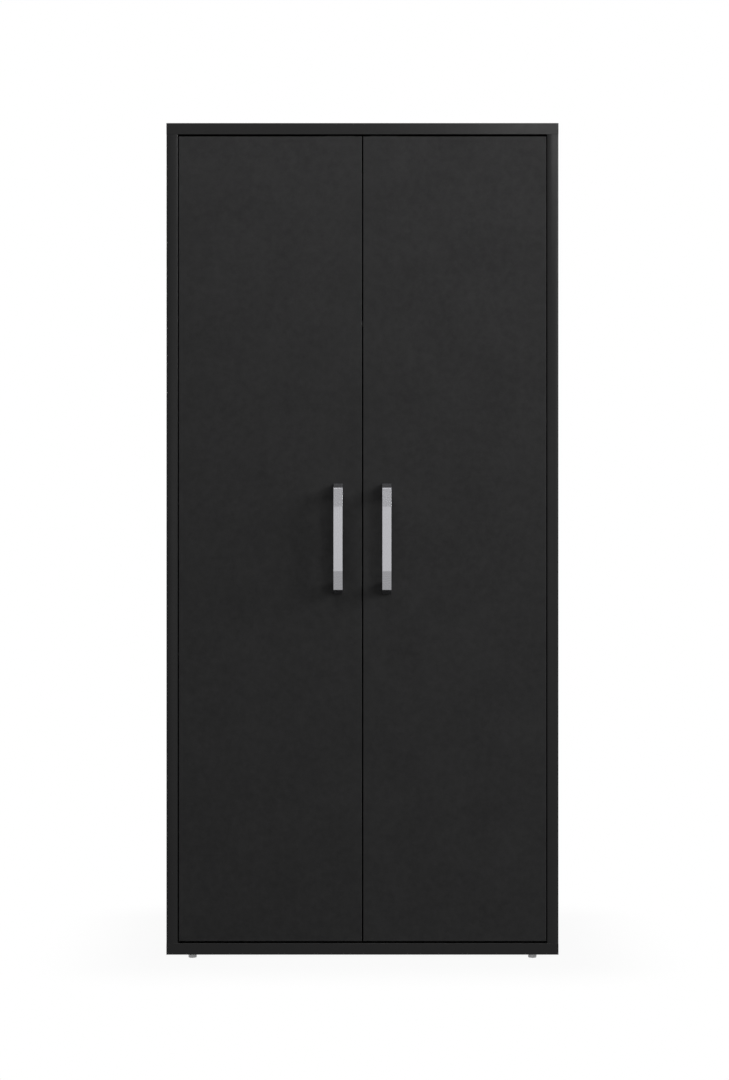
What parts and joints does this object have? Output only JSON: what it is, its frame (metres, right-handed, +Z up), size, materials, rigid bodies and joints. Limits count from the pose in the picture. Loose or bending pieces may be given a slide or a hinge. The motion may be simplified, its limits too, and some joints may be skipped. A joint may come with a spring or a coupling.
{
  "type": "two-door wardrobe",
  "caption": "Tall free-standing wardrobe with inset hinged doors, bow handles, a hat shelf, a clothes rail and a shoe shelf.",
  "frame": {"origin": "on the floor, under the middle of the overall width and depth, handles included", "axes": "+X to the right seen from the front, +Y from the doors to the back, +Z up"},
  "size_m": [0.876, 0.552, 1.87],
  "materials": {
    "black_board": "matte",
    "hardboard": "matte",
    "dowel_wood": "matte",
    "satin_metal": "satin",
    "hinge_steel": "satin",
    "zinc_screw": "satin",
    "chrome_rail": "polished",
    "grey_plastic": "satin",
    "black_plastic": "satin",
    "magnet": "matte"
  },
  "bodies": {
    "carcass": {"top_panel": "black_board", "bottom_panel": "black_board", "left_side_panel": "black_board", "right_side_panel": "black_board", "left_back_panel": "hardboard", "right_back_panel": "hardboard", "back_joining_strip": "black_plastic", "back_nails": "zinc_screw", "cam_locks": "zinc_screw", "cam_bolts": "zinc_screw", "dowels": "dowel_wood", "front_left_foot": "grey_plastic", "rear_left_foot": "grey_plastic", "front_right_foot": "grey_plastic", "rear_right_foot": "grey_plastic", "foot_screws": "zinc_screw", "hat_shelf": "black_board", "hat_shelf_supports": "hinge_steel", "shoe_shelf": "black_board", "shoe_shelf_supports": "hinge_steel", "clothes_rail": "chrome_rail", "left_rail_socket": "chrome_rail", "right_rail_socket": "chrome_rail", "socket_screws": "zinc_screw", "left_hinge_plates": "hinge_steel", "right_hinge_plates": "hinge_steel", "plate_screws": "zinc_screw", "arm_screws": "zinc_screw", "left_catch": "black_plastic", "right_catch": "black_plastic", "catch_magnets": "magnet", "catch_screws": "zinc_screw", "wall_brackets": "hinge_steel", "bracket_screws": "zinc_screw", "left_hinge_arm_1": "hinge_steel", "left_hinge_arm_2": "hinge_steel", "left_hinge_arm_3": "hinge_steel", "left_hinge_arm_4": "hinge_steel", "right_hinge_arm_1": "hinge_steel", "right_hinge_arm_2": "hinge_steel", "right_hinge_arm_3": "hinge_steel", "right_hinge_arm_4": "hinge_steel"},
    "left_door": {"left_door": "black_board", "left_handle": "satin_metal", "left_handle_screws": "zinc_screw", "left_hinge_cups": "hinge_steel", "left_hinge_pins": "hinge_steel", "left_cup_screws": "zinc_screw", "left_strike_plate": "hinge_steel", "left_strike_screw": "zinc_screw"},
    "right_door": {"right_door": "black_board", "right_handle": "satin_metal", "right_handle_screws": "zinc_screw", "right_hinge_cups": "hinge_steel", "right_hinge_pins": "hinge_steel", "right_cup_screws": "zinc_screw", "right_strike_plate": "hinge_steel", "right_strike_screw": "zinc_screw"}
  },
  "joints": [
    {"name": "left_door_hinge", "type": "hinge", "parent": "carcass", "child": "left_door", "pos_m": [-0.3855, -0.2338, 0.941], "axis": [0, 0, -1], "range_deg": [0, 95]},
    {"name": "right_door_hinge", "type": "hinge", "parent": "carcass", "child": "right_door", "pos_m": [0.3855, -0.2338, 0.941], "axis": [0, 0, 1], "range_deg": [0, 95]}
  ]
}
